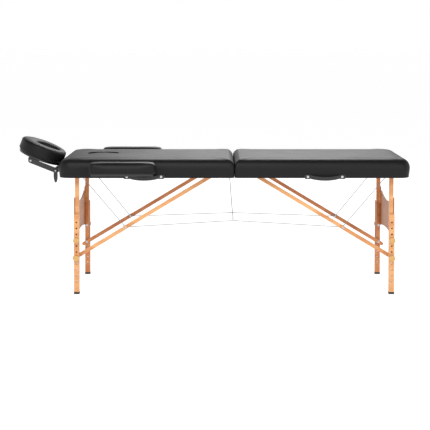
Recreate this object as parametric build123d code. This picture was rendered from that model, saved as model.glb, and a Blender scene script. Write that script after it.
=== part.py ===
from build123d import *
import os
from math import atan2, cos, degrees, hypot, radians, sin, tan

# Portable massage table, millimetres. +X runs towards the foot end, -X towards the head end,
# -Y is the side with the carrying handles, +Z is up. The origin is on the floor, under the
# centre of the padded top.

# ---- driving dimensions: the padded top ----
HALF_LENGTH = 925.0
HALF_WIDTH = 300.0
TOP_Z = 731.0
FRAME_Z = 633.0
SEAM_GAP = 1.5
VINYL = 2.0
DECK_TOP_Z = 690.0
DECK_THICK = 4.0
RAIL_THICK = 14.0
END_CORNER_R = 60.0
SEAM_CORNER_R = 14.0
PAD_EDGE_R = 20.0
COVER_LIP = 15.0
LIP_THICK = 1.5
RUN = 0.05          # radial clearance of a bolt in its hole
GAP = 0.3           # clearance between neighbouring wooden members

# ---- driving dimensions: a leg frame, measured along the leg from its top pivot ----
SPLAY = 1.05
FOOT_U = 846.5
PIVOT_Z = 662.0
PIVOT_U = FOOT_U - PIVOT_Z * tan(radians(SPLAY))
LEG_THICK = 24.0
LEG_OUTER_Y = 262.0
LOWER_LEG_WIDTH = 28.0
UPPER_LEG_WIDTH = 21.0
UPPER_LEG_HEAD = 16.0
UPPER_LEG_END = 491.0
LOWER_LEG_TOP = 228.0
LOWER_LEG_END = 651.0
FOOT_HEIGHT = 10.0
HOLE_PITCH = 32.0
FIRST_HOLE = 272.0
HOLE_COUNT = 11
HOLE_R = 4.5
UPPER_KNOB = FIRST_HOLE + 3 * HOLE_PITCH
LOWER_KNOB = FIRST_HOLE + 6 * HOLE_PITCH
KNOB_R = 16.5
KNOB_DEPTH = 18.0
BOLT_R = 4.0
PANEL_THICK = 5.0
PANEL_TOP = (141.0, 190.0)
PANEL_BOTTOM = (370.0, 344.0)
PANEL_NOTCH = 240.0   # depth of the notches that the folding braces swing through
PANEL_NOTCH_Y = 183.5

# ---- driving dimensions: the folding braces ----
BRACE_WIDTH = 19.0
BRACE_THICK = 12.0
BRACE_BLOCK_U = 86.0
BRACE_BLOCK_Z = 653.0
LOWER_BRACE_TAIL = 30.0
BRACE_TAIL = 15.0
KNEE_BOLT_R = 3.0
KNEE_HEAD_R = 6.0
KNEE_HEAD_DEPTH = 3.0

# ---- driving dimensions: the cables ----
CABLE_R = 1.6
CABLE_KNEE_Y = 182.0
CABLE_MID_Y = 137.0
CABLE_MID_X = -4.0
CABLE_MID_Z = 380.0
CABLE_TOP_X = -23.0
CABLE_ANCHOR_Y = 198.0

# ---- driving dimensions: the face hole, face cradle and armrests ----
FACE_HOLE_X = -718.0
FACE_HOLE_LENGTH = 176.0
FACE_HOLE_WIDTH = 126.0
PLUG_CLEAR = 4.0
DECK_LEDGE = 9.0
POST_Y = 105.0
POST_R = 6.5
CRADLE_PIVOT = (-962.0, 653.0)
CRADLE_TILT_PIVOT = (-1096.0, 707.0)
CRADLE_TILT = 21.5
CRADLE_SEAT = (-1040.0, 711.8)
CUSHION_SPAN = (-103.0, 151.0)
CUSHION_HALF_WIDTH = 145.0
CUSHION_THICK = 70.0
CUSHION_HOLE = (62.0, 50.0)
CUSHION_HOLE_SHIFT = -20.0
ARM_Y = 126.0
ARM_THICK = 9.0
ARM_WIDTH = 26.0
ARMREST_X = (-757.0, -411.0)
ARMREST_DEPTH = 98.0
ARMREST_THICK = 68.0
ARMREST_BOARD = 12.0
ARMREST_TOP_Z = {"near": 720.0, "far": 732.0}
ARMREST_PIN_X = (-660.0, -530.0)
PIN_R = 5.0
HANDLE_X = (385.0, 565.0)
HANDLE_Z = 640.0
HANDLE_DROP = 9.0

# ---- worked-out places ----
DECK_Z = DECK_TOP_Z - DECK_THICK
RAIL_Y = HALF_WIDTH - VINYL - RAIL_THICK
UPPER_LEG_Y = LEG_OUTER_Y - LEG_THICK - GAP
LOWER_BRACE_Y = UPPER_LEG_Y - LEG_THICK - GAP
UPPER_BRACE_Y = LOWER_BRACE_Y - BRACE_THICK - GAP
LEG_FRAME = Location((PIVOT_U, 0, PIVOT_Z), (0, -SPLAY, 0))
BRACE_FOOT = (
    PIVOT_U + LOWER_KNOB * sin(radians(SPLAY)),
    PIVOT_Z - LOWER_KNOB * cos(radians(SPLAY)),
)
BRACE_SPAN = hypot(BRACE_FOOT[0] - BRACE_BLOCK_U, BRACE_BLOCK_Z - BRACE_FOOT[1])
TOP_SPAN = hypot(PIVOT_U - BRACE_BLOCK_U, PIVOT_Z - BRACE_BLOCK_Z)
# The two bars lie flat along the folded leg when their difference equals TOP_SPAN - LOWER_KNOB.
LOWER_BRACE_SPAN = (BRACE_SPAN - TOP_SPAN + LOWER_KNOB) / 2
UPPER_BRACE_SPAN = BRACE_SPAN - LOWER_BRACE_SPAN
BRACE_ANGLE = degrees(atan2(BRACE_BLOCK_Z - BRACE_FOOT[1], BRACE_FOOT[0] - BRACE_BLOCK_U))
KNEE = (
    BRACE_FOOT[0] - LOWER_BRACE_SPAN * cos(radians(BRACE_ANGLE)),
    BRACE_FOOT[1] + LOWER_BRACE_SPAN * sin(radians(BRACE_ANGLE)),
)
HINGE_PIN_R = 1.6
HINGE_KNUCKLE_R = 3.2
HINGE_Z = FRAME_Z - LIP_THICK - HINGE_KNUCKLE_R + 0.9
HINGE_PLACES = (-190.0, 190.0)
HINGE_WIDTH = 66.0

NODES = {}


def solid(x_range, y_range, z_range):
    """A box from its low and high sides."""
    spans = [(low + high) / 2 for low, high in (x_range, y_range, z_range)]
    sizes = [abs(high - low) for low, high in (x_range, y_range, z_range)]
    return Pos(*spans) * Box(*sizes)


def rod_y(u, z, radius, y_from, y_to):
    """A round rod along Y."""
    middle = (y_from + y_to) / 2
    return Pos(u, middle, z) * Rot(90, 0, 0) * Cylinder(radius, abs(y_to - y_from))


def rod_x(y, z, radius, x_from, x_to):
    """A round rod along X."""
    middle = (x_from + x_to) / 2
    return Pos(middle, y, z) * Rot(0, 90, 0) * Cylinder(radius, abs(x_to - x_from))


def both_sides(shape):
    """The shape and its mirror image across the table's long centre plane."""
    return [shape, mirror(shape, about=Plane.XZ)]


def keep(name, shapes):
    """Store solids under a node name."""
    flat = []
    for shape in shapes if isinstance(shapes, list) else [shapes]:
        flat.extend(shape.solids())
    NODES[name] = flat


def keep_end(end, name, shapes):
    """Store solids drawn for the foot end, mirrored when they belong to the head end."""
    shapes = shapes if isinstance(shapes, list) else [shapes]
    if end == "head":
        shapes = [mirror(shape, about=Plane.YZ) for shape in shapes]
    keep(f"{end}_{name}", shapes)


def plan(inset, seam_gap=SEAM_GAP):
    """The foot section's outline seen from above, drawn in by inset."""
    low, high = seam_gap + inset, HALF_LENGTH - inset
    side = HALF_WIDTH - inset
    outline = Pos((low + high) / 2, 0) * Rectangle(high - low, 2 * side)
    corners = outline.vertices().sort_by(Axis.X)
    outline = fillet(corners[:2], max(SEAM_CORNER_R - inset, 2))
    sharp = [v for v in outline.vertices() if abs(v.X - high) < 0.01]
    return fillet(sharp, END_CORNER_R - inset)


def slab(sketch, z_from, z_to):
    """A flat sheet cut to a plan outline."""
    return Pos(0, 0, z_from) * extrude(sketch, z_to - z_from)


def face_hole(clear, z_from, z_to):
    """A cutter for the rounded face opening, larger than the nominal hole by clear."""
    length = FACE_HOLE_LENGTH + 2 * clear
    width = FACE_HOLE_WIDTH + 2 * clear
    shape = RectangleRounded(length, width, width / 2 - 0.5)
    return Pos(-FACE_HOLE_X, 0, z_from) * extrude(shape, z_to - z_from)


def frame_parts(end):
    """Beech rails under the deck, with the blocks that carry the legs and the braces."""
    ring = plan(VINYL) - plan(VINYL + RAIL_THICK)
    ring = slab(ring, FRAME_Z + LIP_THICK, DECK_Z)
    seam_x = SEAM_GAP + VINYL + RAIL_THICK
    corner_x = HALF_LENGTH - END_CORNER_R
    corner_y = HALF_WIDTH - END_CORNER_R
    side = 2 * HALF_WIDTH
    heights = (FRAME_Z - 5, DECK_Z + 5)
    # Straight rails, joined at the far end by two rounded corner blocks.
    pieces = [
        ring & solid((0, seam_x), (-side, side), heights),
        ring & solid((seam_x, corner_x), (-side, 0), heights),
        ring & solid((seam_x, corner_x), (0, side), heights),
        ring & solid((corner_x, HALF_LENGTH), (-corner_y, corner_y), heights),
        ring & solid((corner_x, HALF_LENGTH), (-side, -corner_y), heights),
        ring & solid((corner_x, HALF_LENGTH), (corner_y, side), heights),
    ]
    leg_block = solid((PIVOT_U - 26, PIVOT_U + 26), (-RAIL_Y, -UPPER_LEG_Y - GAP), (640, DECK_Z))
    leg_block -= rod_y(PIVOT_U, PIVOT_Z, BOLT_R + RUN, -RAIL_Y, -UPPER_LEG_Y)
    brace_block = solid(
        (BRACE_BLOCK_U - 26, BRACE_BLOCK_U + 26), (-UPPER_LEG_Y, -LOWER_BRACE_Y - GAP), (640, DECK_Z)
    )
    brace_block -= rod_y(BRACE_BLOCK_U, BRACE_BLOCK_Z, BOLT_R + RUN, -UPPER_LEG_Y, -LOWER_BRACE_Y)
    pieces += both_sides(leg_block) + both_sides(brace_block)
    pieces = [cut_rivet_holes(piece) for piece in pieces]
    if end == "head":
        pieces = [cut_frame_holes(piece) for piece in pieces]
    return pieces


def cut_rivet_holes(piece):
    """Holes on the near side for the two rivets of the carrying strap."""
    for x in HANDLE_X:
        piece -= rod_y(x, HANDLE_Z, BOLT_R + RUN, -HALF_WIDTH - 5, -RAIL_Y + 5)
    return piece


def cut_frame_holes(piece):
    """Holes for the face cradle's posts and the armrests' pins, drawn mirrored in X."""
    for y in (-POST_Y, POST_Y):
        piece -= rod_x(y, CRADLE_PIVOT[1], POST_R + 0.2, HALF_LENGTH - 30, HALF_LENGTH + 5)
    for name, sign in (("near", -1), ("far", 1)):
        for x in ARMREST_PIN_X:
            pin_z = armrest_pin_z(name)
            piece -= rod_y(-x, pin_z, PIN_R + 0.2, sign * (RAIL_Y - 5), sign * (HALF_WIDTH + 5))
    return piece


def armrest_pin_z(side):
    """Height of an armrest's two pins."""
    return ARMREST_TOP_Z[side] - ARMREST_THICK + 5.5


def cover_skirt(end):
    """Vinyl cover pulled over the rails and turned in under their lower edge."""
    wall = plan(0) - plan(VINYL)
    skirt = slab(wall, FRAME_Z, DECK_TOP_Z)
    lip = plan(VINYL) - plan(VINYL + COVER_LIP)
    skirt += slab(lip, FRAME_Z, FRAME_Z + LIP_THICK)
    skirt = cut_rivet_holes(skirt)
    if end == "head":
        skirt = cut_frame_holes(skirt)
    return skirt


def deck_board(end):
    """Thin plywood deck that carries the foam."""
    board = slab(plan(VINYL), DECK_Z, DECK_TOP_Z)
    if end == "head":
        board -= face_hole(-DECK_LEDGE, DECK_Z - 5, DECK_TOP_Z + 5)
    return board


def pad_block(end):
    """Foam pad with a rounded top edge."""
    pad = slab(plan(0), DECK_TOP_Z, TOP_Z)
    top_edges = pad.faces().sort_by(Axis.Z)[-1].edges()
    pad = fillet(top_edges, PAD_EDGE_R)
    if end == "head":
        pad -= face_hole(0, DECK_TOP_Z - 5, TOP_Z + 5)
    return pad


def handle_parts(end):
    """A flexible carrying strap hung between two rivets on the near side of a section."""
    face_y = -HALF_WIDTH - 0.2
    middle = sum(HANDLE_X) / 2
    tabs = []
    rivets = []
    for x in HANDLE_X:
        tab = RectangleRounded(38, 23, 11)
        tab = Pos(x, face_y, HANDLE_Z) * Rot(90, 0, 0) * extrude(tab, 5)
        bore = rod_y(x, HANDLE_Z, BOLT_R + RUN, face_y + 1, face_y - 8)
        tabs.append(tab - bore)
        cap = Pos(x, face_y - 5, HANDLE_Z) * Rot(90, 0, 0) * extrude(Circle(7), 2.5)
        cap = fillet(cap.faces().sort_by(Axis.Y)[0].edges(), 1.8)
        shank = rod_y(x, HANDLE_Z, BOLT_R, face_y - 5, -RAIL_Y)
        rivets.append(cap + shank)
    start = (HANDLE_X[0] + 12, face_y - 4, HANDLE_Z)
    finish = (HANDLE_X[1] - 12, face_y - 4, HANDLE_Z)
    sag = (middle, face_y - 18, HANDLE_Z - HANDLE_DROP)
    path = ThreePointArc(start, sag, finish)
    section = Plane(origin=path @ 0, x_dir=(path % 0).cross(Vector(0, 1, 0.35)), z_dir=path % 0)
    strap = sweep(section * RectangleRounded(21, 3.4, 1.5), path=path)
    handle = tabs[0] + strap + tabs[1]
    return handle, rivets


def hinge_leaf(x_side, knuckles):
    """Leaf screwed under one section, with its knuckles on the fold axis."""
    leaves = []
    for y in HINGE_PLACES:
        leaf = solid((0, x_side * 34), (y - HINGE_WIDTH / 2, y + HINGE_WIDTH / 2), (FRAME_Z - 1.5, FRAME_Z))
        whole = rod_y(0, HINGE_Z, HINGE_KNUCKLE_R, y - HINGE_WIDTH / 2, y + HINGE_WIDTH / 2)
        clear = rod_y(0, HINGE_Z, HINGE_KNUCKLE_R + 0.4, y - HINGE_WIDTH / 2 - 1, y + HINGE_WIDTH / 2 + 1)
        body = leaf - clear
        for low, high in knuckles:
            band = solid((-9, 9), (y + low, y + high), (HINGE_Z - 9, FRAME_Z))
            body += (whole & band) + (leaf & band)
            body -= solid((-x_side * 9, -x_side * 0.01), (y + low, y + high), (HINGE_Z, FRAME_Z)) - whole
        body -= rod_y(0, HINGE_Z, HINGE_PIN_R + RUN, y - HINGE_WIDTH, y + HINGE_WIDTH)
        leaves.append(body)
    return leaves


def section_parts(end):
    """Everything fixed to one half of the top."""
    keep_end(end, "frame", frame_parts(end))
    keep_end(end, "deck", deck_board(end))
    keep_end(end, "pad", pad_block(end))
    keep_end(end, "cover_skirt", cover_skirt(end))
    handle, rivets = handle_parts(end)
    keep_end(end, "handle", handle)
    leg_bolt = rod_y(PIVOT_U, PIVOT_Z, BOLT_R, -RAIL_Y + 1, -LOWER_BRACE_Y - GAP)
    leg_bolt += rod_y(PIVOT_U, PIVOT_Z, 7, -LOWER_BRACE_Y + 5, -LOWER_BRACE_Y - GAP)
    brace_bolt = rod_y(BRACE_BLOCK_U, BRACE_BLOCK_Z, BOLT_R, -UPPER_LEG_Y + 1, -UPPER_BRACE_Y + BRACE_THICK)
    brace_bolt += rod_y(
        BRACE_BLOCK_U, BRACE_BLOCK_Z, 7, -UPPER_BRACE_Y + BRACE_THICK + GAP, -UPPER_BRACE_Y + BRACE_THICK + 5
    )
    keep_end(end, "fasteners", rivets + both_sides(leg_bolt) + both_sides(brace_bolt))


def leg_bar(width, y_outer, along_from, along_to, round_head=False):
    """A leg member along the leg axis, before the leg is placed."""
    bar = solid((-width / 2, width / 2), (-y_outer, -y_outer + LEG_THICK), (-along_to, -along_from))
    upright = bar.edges().filter_by(Axis.Z)
    bar = fillet(upright, 2.5)
    if round_head:
        top = bar.faces().sort_by(Axis.Z)[-1].edges().filter_by(Axis.Y)
        bar = fillet(top, width / 2 - 3)
    return bar


def end_panel():
    """Thin panel across the two upper legs, hollowed by an arc above and below."""
    half = UPPER_LEG_Y
    top_arc = ThreePointArc((-half, -PANEL_TOP[0]), (0, -PANEL_TOP[1]), (half, -PANEL_TOP[0]))
    bottom_arc = ThreePointArc((half, -PANEL_BOTTOM[0]), (0, -PANEL_BOTTOM[1]), (-half, -PANEL_BOTTOM[0]))
    sides = [
        Line((half, -PANEL_TOP[0]), (half, -PANEL_BOTTOM[0])),
        Line((-half, -PANEL_BOTTOM[0]), (-half, -PANEL_TOP[0])),
    ]
    face = make_face([top_arc, sides[0], bottom_arc, sides[1]])
    start = UPPER_LEG_WIDTH / 2
    panel = Plane(origin=(start, 0, 0), x_dir=(0, 1, 0), z_dir=(1, 0, 0)) * extrude(face, PANEL_THICK)
    inner_y = UPPER_LEG_Y - LEG_THICK - GAP / 2
    for notch in both_sides(solid((0, 30), (-inner_y, -PANEL_NOTCH_Y), (-PANEL_NOTCH, 0))):
        panel -= notch
    return panel


def knob(along):
    """Scalloped turning knob on one bolt."""
    outline = Circle(KNOB_R)
    for turn in range(8):
        outline -= Rot(0, 0, turn * 45) * Pos(KNOB_R + 3.2, 0) * Circle(5.0)
    body = extrude(outline, KNOB_DEPTH)
    body = chamfer(body.faces().sort_by(Axis.Z)[-1].edges(), 1.5)
    body -= Pos(0, 0, 6) * Cylinder(BOLT_R + RUN, 14)
    return Pos(0, -LEG_OUTER_Y - GAP, -along) * Rot(90, 0, 0) * body


def leg_bolt(along, head_y):
    """Carriage bolt from inside the frame to the knob."""
    shank = rod_y(0, -along, BOLT_R, head_y, -LEG_OUTER_Y - 12)
    head = rod_y(0, -along, 6.5, head_y, head_y - 3)
    return shank + head


def leg_parts(end):
    """One folding leg frame with its two sliding lower legs."""
    upper = leg_bar(UPPER_LEG_WIDTH, UPPER_LEG_Y, -UPPER_LEG_HEAD, UPPER_LEG_END, True)
    upper -= rod_y(0, 0, BOLT_R + RUN, -UPPER_LEG_Y - 1, -UPPER_LEG_Y + LEG_THICK + 1)
    inner_y = -UPPER_LEG_Y + LEG_THICK
    for along in (UPPER_KNOB, LOWER_KNOB):
        upper -= rod_y(0, -along, BOLT_R + RUN, -UPPER_LEG_Y - 1, inner_y + 1)
    upper -= rod_y(0, -UPPER_KNOB, 6.5 + RUN, inner_y - 3, inner_y + 1)
    keep_end(end, "upper_legs", [LEG_FRAME * one for one in both_sides(upper)])
    keep_end(end, "leg_panel", LEG_FRAME * end_panel())

    bolts = [leg_bolt(UPPER_KNOB, inner_y), leg_bolt(LOWER_KNOB, -LOWER_BRACE_Y + BRACE_THICK)]
    bolts = [side for one in bolts for side in both_sides(one)]
    keep_end(end, "leg_bolts", [LEG_FRAME * one for one in bolts])

    lower = leg_bar(LOWER_LEG_WIDTH, LEG_OUTER_Y, LOWER_LEG_TOP, LOWER_LEG_END)
    for number in range(HOLE_COUNT):
        along = FIRST_HOLE + number * HOLE_PITCH
        lower -= rod_y(0, -along, HOLE_R, -LEG_OUTER_Y - 1, -UPPER_LEG_Y + 1)
    foot = solid(
        (-LOWER_LEG_WIDTH / 2 - 1, LOWER_LEG_WIDTH / 2 + 1),
        (-LEG_OUTER_Y - 1, -LEG_OUTER_Y + LEG_THICK),
        (-LOWER_LEG_END - 2 * FOOT_HEIGHT, -LOWER_LEG_END),
    )
    foot = fillet(foot.edges().filter_by(Axis.Z), 3)
    foot = LEG_FRAME * foot - solid((0, 2000), (-400, 0), (-100, 0))
    lower = LEG_FRAME * lower
    for side, place in (("near", lambda one: one), ("far", lambda one: mirror(one, about=Plane.XZ))):
        keep_end(end, f"lower_leg_{side}", place(lower))
        keep_end(end, f"foot_{side}", place(foot))
        for level, along in (("upper", UPPER_KNOB), ("lower", LOWER_KNOB)):
            keep_end(end, f"{level}_knob_{side}", place(LEG_FRAME * knob(along)))


def brace_bar(start, angle, span, y_outer, tail, bores):
    """A wooden bar from its first pivot, running inwards and upwards, with rounded ends."""
    bar = SlotOverall(span + tail + BRACE_TAIL, BRACE_WIDTH)
    bar = Pos((span + BRACE_TAIL - tail) / 2, 0) * bar
    for along, radius in bores:
        bar -= Pos(along, 0) * Circle(radius + RUN)
    bar = extrude(bar, BRACE_THICK)
    frame = Plane(
        origin=(start[0], -y_outer, start[1]),
        x_dir=(-cos(radians(angle)), 0, sin(radians(angle))),
        z_dir=(0, 1, 0),
    )
    return frame * bar


def brace_parts(end):
    """The two folding braces of one leg frame, and the knee bolts between their bars."""
    lower = brace_bar(
        BRACE_FOOT,
        BRACE_ANGLE,
        LOWER_BRACE_SPAN,
        LOWER_BRACE_Y,
        LOWER_BRACE_TAIL,
        ((0, BOLT_R), (LOWER_BRACE_SPAN, KNEE_BOLT_R)),
    )
    inner = -LOWER_BRACE_Y + BRACE_THICK
    lower -= rod_y(BRACE_FOOT[0], BRACE_FOOT[1], 6.5 + RUN, inner - 3, inner + 1)
    outer_y = -LOWER_BRACE_Y
    lower -= rod_y(*KNEE, KNEE_HEAD_R + RUN, outer_y - 1, outer_y + KNEE_HEAD_DEPTH)
    upper = brace_bar(
        KNEE,
        BRACE_ANGLE,
        UPPER_BRACE_SPAN,
        UPPER_BRACE_Y,
        BRACE_TAIL,
        ((0, KNEE_BOLT_R), (UPPER_BRACE_SPAN, BOLT_R)),
    )
    keep_end(end, "lower_braces", both_sides(lower))
    keep_end(end, "upper_braces", both_sides(upper))
    inner_y = -UPPER_BRACE_Y + BRACE_THICK
    head = rod_y(*KNEE, KNEE_BOLT_R, outer_y, outer_y + BRACE_THICK)
    head += rod_y(*KNEE, KNEE_HEAD_R, outer_y, outer_y + KNEE_HEAD_DEPTH)
    nut = rod_y(*KNEE, KNEE_BOLT_R, -UPPER_BRACE_Y, inner_y)
    nut += rod_y(*KNEE, KNEE_HEAD_R, inner_y, inner_y + 4.5)
    keep_end(end, "knee_bolts", both_sides(head))
    keep_end(end, "knee_nuts", both_sides(nut))


def cable_solid(points, radii):
    """A taut steel cable along straight runs joined by arcs."""
    path = FilletPolyline(points, radius=radii)
    section = Plane(origin=path @ 0, z_dir=path % 0) * Circle(CABLE_R)
    return sweep(section, path=path)


def cable_parts():
    """Two long cables through the brace knees, and one short cable that lifts them."""
    anchor = (-PIVOT_U, -CABLE_ANCHOR_Y, PIVOT_Z - 6)
    knee = (-KNEE[0], -CABLE_KNEE_Y, KNEE[1])
    middle = (CABLE_MID_X, -CABLE_MID_Y, CABLE_MID_Z)
    points = [anchor, knee, middle, (KNEE[0],) + knee[1:], (PIVOT_U,) + anchor[1:]]
    near = cable_solid(points, [12, 40, 12])
    print("long cable length", round(near.volume / (3.14159265 * CABLE_R**2), 1))
    keep("cable_near", near)
    keep("cable_far", mirror(near, about=Plane.XZ))

    lift = CABLE_R * 2 + 0.4
    top = (CABLE_TOP_X, 0, FRAME_Z - 10)
    ends = [(CABLE_MID_X, side * (CABLE_MID_Y - 1), CABLE_MID_Z + lift + 1) for side in (-1, 1)]
    short = cable_solid([ends[0], top, ends[1]], [8])
    print("short cable length", round(short.volume / (3.14159265 * CABLE_R**2), 1))
    keep("cable_centre", short)

    eyes = []
    for sign in (-1, 1):
        for side in (-1, 1):
            eye_y = side * CABLE_ANCHOR_Y
            eyes.append(rod_y(sign * PIVOT_U, PIVOT_Z, 7, eye_y - side * 3, side * (LOWER_BRACE_Y - 5.2)))
    eyes = [eye - rod_y(eye.center().X, PIVOT_Z, 2.5, -400, 400) for eye in eyes]
    hook = Pos(CABLE_TOP_X, 0, FRAME_Z - 3.5) * Cylinder(6, 7)
    hook -= Pos(CABLE_TOP_X, 0, FRAME_Z - 9.8) * Rot(0, 90, 0) * Cylinder(5.2, 20)
    hook += solid((CABLE_TOP_X - 9, -5), (-10, 10), (FRAME_Z - 2, FRAME_Z))
    keep("cable_anchors", eyes + [hook])


def cradle_frame():
    """Working plane of the face cradle's sloping seat: x up the slope, z out of the cushion."""
    slope = radians(CRADLE_TILT)
    return Plane(
        origin=(CRADLE_SEAT[0], 0, CRADLE_SEAT[1]),
        x_dir=(-cos(slope), 0, sin(slope)),
        z_dir=(sin(slope), 0, cos(slope)),
    )


def cradle_parts():
    """Adjustable face cradle that plugs into the head end."""
    pivot_x, pivot_z = CRADLE_PIVOT
    tilt_x, tilt_z = CRADLE_TILT_PIVOT
    bar = solid((pivot_x - 14, pivot_x + 14), (-ARM_Y + GAP, ARM_Y - GAP), (pivot_z - 11, pivot_z + 11))
    bar = fillet(bar.edges().filter_by(Axis.Y), 5)
    bar -= rod_y(pivot_x, pivot_z, BOLT_R + RUN, -200, 200)
    posts = []
    for y in (-POST_Y, POST_Y):
        bar -= rod_x(y, pivot_z, POST_R, pivot_x + 6, pivot_x + 20)
        posts.append(rod_x(y, pivot_z, POST_R, pivot_x + 6, -HALF_LENGTH + 34))
    keep("cradle_base", bar)
    rod = rod_y(pivot_x, pivot_z, BOLT_R, -ARM_Y - ARM_THICK - 11, ARM_Y + ARM_THICK + 5)
    keep("cradle_rods", posts + [rod])

    reach = hypot(pivot_x - tilt_x, tilt_z - pivot_z)
    rise = degrees(atan2(tilt_z - pivot_z, pivot_x - tilt_x))
    arm = Pos(reach / 2, 0) * SlotCenterToCenter(reach, ARM_WIDTH)
    arm -= Circle(BOLT_R + RUN) + Pos(reach, 0) * Circle(BOLT_R + RUN)
    along = (-cos(radians(rise)), 0, sin(radians(rise)))
    frame = Plane(origin=(pivot_x, -ARM_Y - ARM_THICK, pivot_z), x_dir=along, z_dir=(0, 1, 0))
    arm = frame * extrude(arm, ARM_THICK)
    keep("cradle_arms", both_sides(arm))

    pin = rod_y(tilt_x, tilt_z, BOLT_R, -ARM_Y - ARM_THICK, -ARM_Y + 12)
    pin += rod_y(tilt_x, tilt_z, 5.5, -ARM_Y - ARM_THICK - 3, -ARM_Y - ARM_THICK)
    keep("cradle_pins", both_sides(pin))

    seat = cradle_frame()
    centre = sum(CUSHION_SPAN) / 2
    half_length = (CUSHION_SPAN[1] - CUSHION_SPAN[0]) / 2
    hole = Pos(centre + CUSHION_HOLE_SHIFT, 0) * Ellipse(*CUSHION_HOLE)
    ring = Pos(centre, 0) * Ellipse(half_length, CUSHION_HALF_WIDTH) - hole
    cushion = extrude(ring, CUSHION_THICK)
    cushion = fillet(cushion.edges(), 20)
    keep("cradle_cushion", seat * cushion)

    board = Pos(centre, 0) * Ellipse(half_length - 9, CUSHION_HALF_WIDTH - 9) - hole
    board = seat * (Pos(0, 0, -9.3) * extrude(board, 9))
    low = seat.to_local_coords(Vector(tilt_x, 0, tilt_z))
    cleat = Pos(low.X - 12, -9.3) * Rectangle(58, -9.3 - low.Z, align=(Align.CENTER, Align.MAX))
    cleat += Pos(low.X, low.Z) * Circle(9.5)
    cleat -= Pos(low.X, low.Z) * Circle(BOLT_R + RUN)
    slope = radians(CRADLE_TILT)
    upright = Plane(
        origin=(CRADLE_SEAT[0], -ARM_Y + GAP, CRADLE_SEAT[1]),
        x_dir=(-cos(slope), 0, sin(slope)),
        z_dir=(0, 1, 0),
    )
    cleat = upright * extrude(cleat, 11)
    keep("cradle_platform", [board] + both_sides(cleat))

    lever = Pos(0, -26) * Ellipse(10.5, 38.0) + Circle(12)
    lever -= Circle(BOLT_R + RUN)
    lever_plane = Plane(
        origin=(pivot_x, -ARM_Y - ARM_THICK - 10, pivot_z), x_dir=(1, 0, 0), z_dir=(0, -1, 0)
    )
    lever = lever_plane * Pos(0, 0, -9.7) * extrude(lever, 9.5)
    keep("cradle_lever", lever)


def armrest_parts(side):
    """A plug-in armrest: padded cushion on a board with two pins."""
    sign = -1 if side == "near" else 1
    top = ARMREST_TOP_Z[side]
    low, high = ARMREST_X
    y_in, y_out = sign * (HALF_WIDTH + 1.5), sign * (HALF_WIDTH + 1.5 + ARMREST_DEPTH)
    bottom = top - ARMREST_THICK
    cushion = solid((low, high), sorted((y_in, y_out)), (bottom + ARMREST_BOARD, top))
    cushion = fillet(cushion.edges().filter_by(Axis.Z), 24)
    cushion = fillet(cushion.faces().sort_by(Axis.Z)[-1].edges(), 15)
    keep(f"armrest_{side}_cushion", cushion)
    inner = (low + 12, high - 12)
    board = solid(inner, sorted((y_in + sign * 2, y_out - sign * 12)), (bottom, bottom + ARMREST_BOARD))
    pins = []
    pin_z = armrest_pin_z(side)
    for x in ARMREST_PIN_X:
        board -= rod_y(x, pin_z, PIN_R, y_in, y_out - sign * 30)
        pins.append(
            rod_y(x, pin_z, PIN_R, y_in + sign * 2, y_out - sign * 30)
            + rod_y(x, pin_z, PIN_R, sign * 268, y_in + sign * 2)
        )
    keep(f"armrest_{side}_base", [board] + pins)


def face_plug():
    """Padded plug that fills the face opening, resting on the deck's ledge."""
    plug = face_hole(-PLUG_CLEAR, DECK_TOP_Z + 0.2, TOP_Z - 1)
    plug = fillet(plug.faces().sort_by(Axis.Z)[-1].edges(), 6)
    keep("face_plug", mirror(plug, about=Plane.YZ))


def hinge_parts():
    """Two butt hinges under the seam; the head leaf carries the outer knuckles and the pins."""
    half = HINGE_WIDTH / 2
    third = HINGE_WIDTH / 6
    pins = [rod_y(0, HINGE_Z, HINGE_PIN_R, y - half, y + half) for y in HINGE_PLACES]
    keep("head_hinges", hinge_leaf(-1, ((-half, -third - 0.2), (third + 0.2, half))) + pins)
    keep("foot_hinges", hinge_leaf(1, ((-third, third),)))


def main():
    for end in ("head", "foot"):
        section_parts(end)
        leg_parts(end)
        brace_parts(end)
    hinge_parts()
    cable_parts()
    cradle_parts()
    for side in ("near", "far"):
        armrest_parts(side)
    face_plug()
    os.makedirs("parts", exist_ok=True)
    for name, solids in NODES.items():
        export_step(Compound(children=solids) if len(solids) > 1 else solids[0], f"parts/{name}.step")
    print(len(NODES), "nodes; knee", KNEE, "brace foot", BRACE_FOOT, "pivot", PIVOT_U)
    print("brace spans", LOWER_BRACE_SPAN, UPPER_BRACE_SPAN, "angle", BRACE_ANGLE, "hinge z", HINGE_Z)


main()
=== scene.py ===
"""Portable massage table: upholstery, cables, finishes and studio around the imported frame."""

import math

import bmesh
import bpy
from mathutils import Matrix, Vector


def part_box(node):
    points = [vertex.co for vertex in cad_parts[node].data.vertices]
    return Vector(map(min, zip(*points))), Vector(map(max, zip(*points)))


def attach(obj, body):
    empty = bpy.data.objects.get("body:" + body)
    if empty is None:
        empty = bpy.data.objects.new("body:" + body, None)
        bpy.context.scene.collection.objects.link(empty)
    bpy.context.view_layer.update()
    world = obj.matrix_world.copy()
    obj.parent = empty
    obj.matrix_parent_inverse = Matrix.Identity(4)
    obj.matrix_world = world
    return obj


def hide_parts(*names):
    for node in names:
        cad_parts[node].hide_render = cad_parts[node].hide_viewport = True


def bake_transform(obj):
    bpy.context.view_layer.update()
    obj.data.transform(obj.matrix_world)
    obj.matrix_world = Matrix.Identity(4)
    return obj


bl_info = {
    "name": "Portable massage table",
    "version": (1, 0, 0),
    "blender": (4, 5, 0),
    "location": "View3D > Sidebar > Massage table",
    "description": "Builds the upholstery, cables and finishes of a folding massage table",
    "category": "Object",
}

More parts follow.
